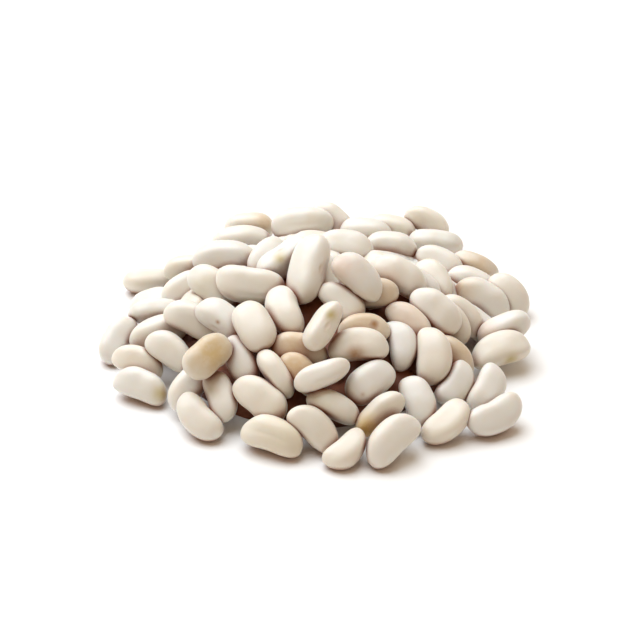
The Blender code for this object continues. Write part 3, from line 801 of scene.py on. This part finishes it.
def make_beans(name, beans, names, shapes, fineness):
    """One joined piece of beans, each with its place on the bean, its tone, its scar and its patches, some of
    them painted shade.
    """
    sphere, triangles = unit_sphere(fineness)
    points, places, tones, scars, patches = [], [], [], [], []
    for (middle, axes, size), bean_name, shape in zip(beans, names, shapes):
        creases = [crease for crease in CREASES if crease[0] == bean_name]
        bean, scar = fine_bean(sphere, size, shape, creases)
        placed = bean @ axes.T + middle
        placed += nudge(placed)
        points.append(placed)
        places.append(bean + shape["grain"])
        tones.append(np.full(len(bean), shape["tone"]))
        scars.append(scar)
        patches.append(paint_patches_and_shade(bean_name, placed, ways_out(sphere, size) @ axes.T))
    faces = np.concatenate([triangles + count * len(sphere) for count in range(len(beans))])
    piece = new_piece(name, np.concatenate(points), faces)
    add_attribute(piece, "bean_place", "FLOAT_VECTOR", "vector", np.concatenate(places))
    add_attribute(piece, "bean_tone", "FLOAT", "value", np.concatenate(tones))
    add_attribute(piece, "bean_scar", "FLOAT", "value", np.concatenate(scars))
    add_attribute(piece, "bean_patch_and_shade", "FLOAT_COLOR", "color", np.concatenate(patches))
    return piece


def core_bumps(x, y):
    """How high bumps like the backs of buried beans stand over the core at each place (mm)."""
    bumps = np.zeros_like(x)
    rng = np.random.default_rng(CORE_SEED)
    for spot in range(CORE_BUMPS):
        out = CORE_RADIUS * math.sqrt((spot + 0.5) / CORE_BUMPS)
        heading = rng.uniform(0, math.pi)
        right, ahead = x - out * math.cos(spot * GOLDEN_ANGLE), y - out * math.sin(spot * GOLDEN_ANGLE)
        along = right * math.cos(heading) + ahead * math.sin(heading)
        across = ahead * math.cos(heading) - right * math.sin(heading)
        round_top = 1 - (along / (USUAL_LENGTH / 2)) ** 2 - (across / (USUAL_WIDTH / 2)) ** 2
        bumps = np.maximum(bumps, CORE_BUMP_HEIGHT * np.sqrt(np.maximum(round_top, 0)))
    return bumps


def merge_near(thing):
    """Make one point of those that lie together, such as the first ring of the core."""
    shape = bmesh.new()
    shape.from_mesh(thing.data)
    bmesh.ops.remove_doubles(shape, verts=shape.verts, dist=CORE_MERGE * MM)
    shape.to_mesh(thing.data)
    shape.free()


def make_core():
    """The middle of the heap: a low mound with bumps like the backs of buried beans, painted dark brown as
    shade.
    """
    reaches = CORE_RADIUS * np.linspace(0, 1, CORE_RINGS)
    turns = np.linspace(0, 2 * math.pi, CORE_SIDES, endpoint=False)
    reach, turned = np.meshgrid(reaches, turns, indexing="ij")
    x, y = reach * np.cos(turned), reach * np.sin(turned)
    z = np.maximum(mound_top(x, y) - CORE_DEPTH + core_bumps(x, y), FLOOR_GAP)
    z[-1] = FLOOR_GAP
    faces = []
    for ring in range(CORE_RINGS - 1):
        for step in range(CORE_SIDES):
            one, two = ring * CORE_SIDES + step, ring * CORE_SIDES + (step + 1) % CORE_SIDES
            faces += [(one, one + CORE_SIDES, two + CORE_SIDES), (one, two + CORE_SIDES, two)]
    faces.append(tuple((CORE_RINGS - 1) * CORE_SIDES + step for step in reversed(range(CORE_SIDES))))
    core = new_piece("core_under_beans", np.stack([x, y, z], axis=-1).reshape(-1, 3), faces)
    merge_near(core)
    return core


def add_node(tree, kind, links, **settings):
    """A node with its settings, and its inputs linked to an output or set to a value."""
    node = tree.nodes.new(kind)
    for name, value in settings.items():
        setattr(node, name, value)
    for socket, value in links.items():
        if isinstance(value, bpy.types.NodeSocket):
            tree.links.new(value, node.inputs[socket])
        else:
            node.inputs[socket].default_value = value
    return node


def start_material(name, finish):
    """A material's node tree and its surface shader, which takes the light as the finish says."""
    material = bpy.data.materials.new(name)
    material.use_nodes = True
    surface = material.node_tree.nodes["Principled BSDF"]
    for socket, value in finish.items():
        surface.inputs[socket].default_value = value
    return material, material.node_tree, surface


def coat_colour(tree, place, clouds):
    """The seed coat's colour: the bean's own tone, under clouds, patches (some painted shade), its scar and
    painted brown shade where beans crowd.
    """
    tone = add_node(tree, "ShaderNodeAttribute", {}, attribute_name="bean_tone")
    scar = add_node(tree, "ShaderNodeAttribute", {}, attribute_name="bean_scar")
    patch = add_node(tree, "ShaderNodeAttribute", {}, attribute_name="bean_patch_and_shade")
    tones = add_node(tree, "ShaderNodeValToRGB", {"Fac": tone.outputs["Fac"]})
    tones.color_ramp.elements[0].color = from_hex(COAT_GREY)
    tones.color_ramp.elements[1].color = from_hex(COAT_WARM)
    tones.color_ramp.elements.new(COAT_CREAM_AT).color = from_hex(COAT_CREAM)

    edge = add_node(tree, "ShaderNodeTexNoise", {"Vector": place, "Scale": 1 / PATCH_EDGE_MM, "Detail": 3.0})
    ragged = add_node(tree, "ShaderNodeMapRange", {"Value": edge.outputs["Fac"], **PATCH_SHARE})
    # Painted shade: where other beans are near, the coat is mixed towards dark brown.
    near = add_node(tree, "ShaderNodeAmbientOcclusion", {"Distance": PAINTED_SHADE_REACH_MM * MM}, samples=PAINTED_SHADE_LOOKS)
    cloudy = add_node(tree, "ShaderNodeMapRange", {"Value": clouds, **CLOUD_SHARE})
    patched = add_node(
        tree, "ShaderNodeMath", {0: patch.outputs["Alpha"], 1: ragged.outputs["Result"]}, operation="MULTIPLY"
    )
    scarred = add_node(tree, "ShaderNodeMath", {0: scar.outputs["Fac"], 1: SCAR_TINT}, operation="MULTIPLY")
    crevice_shade = add_node(tree, "ShaderNodeMapRange", {"Value": near.outputs["AO"], **PAINTED_SHADE_SHARE})

    colour = tones.outputs["Color"]
    for share, other in (
        (cloudy.outputs["Result"], from_hex(COAT_CLOUD)),
        (patched.outputs["Value"], patch.outputs["Color"]),
        (scarred.outputs["Value"], from_hex(SCAR_COLOUR)),
        (crevice_shade.outputs["Result"], from_hex(COAT_PAINTED_SHADE)),
    ):
        mixed = add_node(
            tree, "ShaderNodeMix", {MIX_SHARE: share, MIX_ONE: colour, MIX_TWO: other}, data_type="RGBA"
        )
        colour = mixed.outputs[MIXED]
    return colour


def coat_relief(tree, place):
    """The seed coat's soft dents and pores."""
    dents = add_node(tree, "ShaderNodeTexNoise", {"Vector": place, "Scale": 1 / SOFT_DENT_MM, "Detail": 1.0})
    pores = add_node(tree, "ShaderNodeTexNoise", {"Vector": place, "Scale": 1 / PORE_MM, "Detail": 2.0})
    soft = add_node(tree, "ShaderNodeBump", {"Height": dents.outputs["Fac"], **SOFT_DENTS})
    grain = add_node(
        tree, "ShaderNodeBump", {"Height": pores.outputs["Fac"], "Normal": soft.outputs["Normal"], **PORES}
    )
    return grain.outputs["Normal"]


def seed_coat():
    """Dried white seed coat, as it leaves the pod: smooth, satin and a little see-through.

    It gives the eye a cream white that warms where light passes through, painted brown shade where beans
    crowd together, broad soft gloss with a faint sheen and no sharp spot, and faint clouds, pores and
    patches, some of these painted shade.
    """
    material, tree, surface = start_material("dried_white_seed_coat", SEED_COAT)
    place = add_node(tree, "ShaderNodeAttribute", {}, attribute_name="bean_place").outputs["Vector"]
    cloud = add_node(tree, "ShaderNodeTexNoise", {"Vector": place, "Scale": 1 / CLOUD_MM, "Detail": 2.0})
    clouds = cloud.outputs["Fac"]
    gloss = add_node(tree, "ShaderNodeMapRange", {"Value": clouds, **COAT_ROUGHNESS})
    tree.links.new(coat_colour(tree, place, clouds), surface.inputs["Base Color"])
    tree.links.new(coat_relief(tree, place), surface.inputs["Normal"])
    tree.links.new(gloss.outputs["Result"], surface.inputs["Roughness"])
    return material


def cloud_two_colours(tree, surface, size_mm, first, second):
    """Colour a surface with soft clouds between two colours, each with its place from 0 to 1."""
    place = add_node(tree, "ShaderNodeTexCoord", {}).outputs["Object"]
    scale = 1 / (size_mm * MM)
    cloud = add_node(tree, "ShaderNodeTexNoise", {"Vector": place, "Scale": scale, "Detail": 2.0})
    ramp = add_node(tree, "ShaderNodeValToRGB", {"Fac": cloud.outputs["Fac"]})
    for element, (at, colour) in zip(ramp.color_ramp.elements, (first, second)):
        element.position = at
        element.color = from_hex(colour)
    tree.links.new(ramp.outputs["Color"], surface.inputs["Base Color"])


def painted_core_shade():
    """Dark warm browns painted on the core: painted shade that stands for beans deep in the heap.

    It gives the eye deep warm brown gaps.
    """
    material, tree, surface = start_material("painted_shade_core", PAINTED_SHADE_COAT)
    cloud_two_colours(tree, surface, CORE_CLOUD_MM, (CORE_DARK_TO, CORE_SHADE_DARK), (CORE_LIGHT_FROM, CORE_SHADE_LIGHT))
    return material


def white_sweep():
    """Matt white paint on a smooth board: it gives the eye a plain white ground with soft shadows."""
    material, tree, surface = start_material("matt_white_board", MATT_PAINT)
    cloud_two_colours(tree, surface, BOARD_CLOUD_MM, (0.0, BOARD_WHITES[0]), (1.0, BOARD_WHITES[1]))
    return material


def make_floor():
    corners = FLOOR_HALF * np.array([(-1, -1, 0), (1, -1, 0), (1, 1, 0), (-1, 1, 0)])
    floor = new_piece("white_board", corners, [(0, 1, 2, 3)])
    floor.data.materials.append(white_sweep())


def aim(thing, place, target):
    """Put a light or camera at a place and point it at a target (mm)."""
    thing.location = np.array(place) * MM
    way = Vector(np.array(target, dtype=float) - np.array(place, dtype=float))
    thing.rotation_euler = way.to_track_quat("-Z", "Y").to_euler()


def add_light(name, place, width, watts, colour):
    lamp = bpy.data.lights.new(name, "AREA")
    lamp.shape = "DISK"
    lamp.size = width * MM
    lamp.energy = watts
    lamp.color = from_hex(colour)[:3]
    light = bpy.data.objects.new(name, lamp)
    bpy.context.scene.collection.objects.link(light)
    aim(light, place, LIGHTS_AIM)


def light_the_room():
    world = bpy.data.worlds.new("white_room")
    world.use_nodes = True
    world.node_tree.nodes["Background"].inputs["Color"].default_value = from_hex(ROOM_COLOUR)
    world.node_tree.nodes["Background"].inputs["Strength"].default_value = ROOM_STRENGTH
    bpy.context.scene.world = world
    for light in LIGHTS:
        add_light(*light)


def set_up_camera():
    camera = bpy.data.objects.new("camera", bpy.data.cameras.new("camera"))
    bpy.context.scene.collection.objects.link(camera)
    camera.data.sensor_width = SENSOR_MM
    camera.data.lens = SENSOR_MM * VIEW_FOCUS_PX / (2 * VIEW_MIDDLE_PX)
    camera.data.clip_start = NEAREST_MM * MM
    camera.data.clip_end = FARTHEST_MM * MM
    aim(camera, EYE, VIEW_AIM)
    bpy.context.scene.camera = camera
    bpy.context.scene.view_settings.view_transform = "Standard"


def make_heap():
    """The beans, one piece for each layer and one for those out of sight, and the core under them."""
    beans = lay_unseen(*lay_visible())
    names, groups = [], []
    for number, layer in enumerate(LAYERS, 1):
        names += [bean[0] for bean in layer]
        groups.append(("beans_of_layer_%d" % number, len(layer), SHOWN_FINENESS))
    unseen = len(beans) - len(names)
    names += ["unseen_%d" % count for count in range(unseen)]
    groups.append(("beans_out_of_sight", unseen, UNSEEN_FINENESS))
    shapes = draw_shapes(len(beans))
    coat = seed_coat()
    pieces = []
    first = 0
    for name, count, fineness in groups:
        own = slice(first, first + count)
        piece = make_beans(name, beans[own], names[own], shapes[own], fineness)
        piece.data.materials.append(coat)
        pieces.append(piece)
        first += count
    core = make_core()
    core.data.materials.append(painted_core_shade())
    return pieces + [core]


def build():
    set_up_camera()
    light_the_room()
    make_floor()
    for piece in make_heap():
        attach(piece, HEAP_BODY)
        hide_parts(HEAP_NODE)


build()
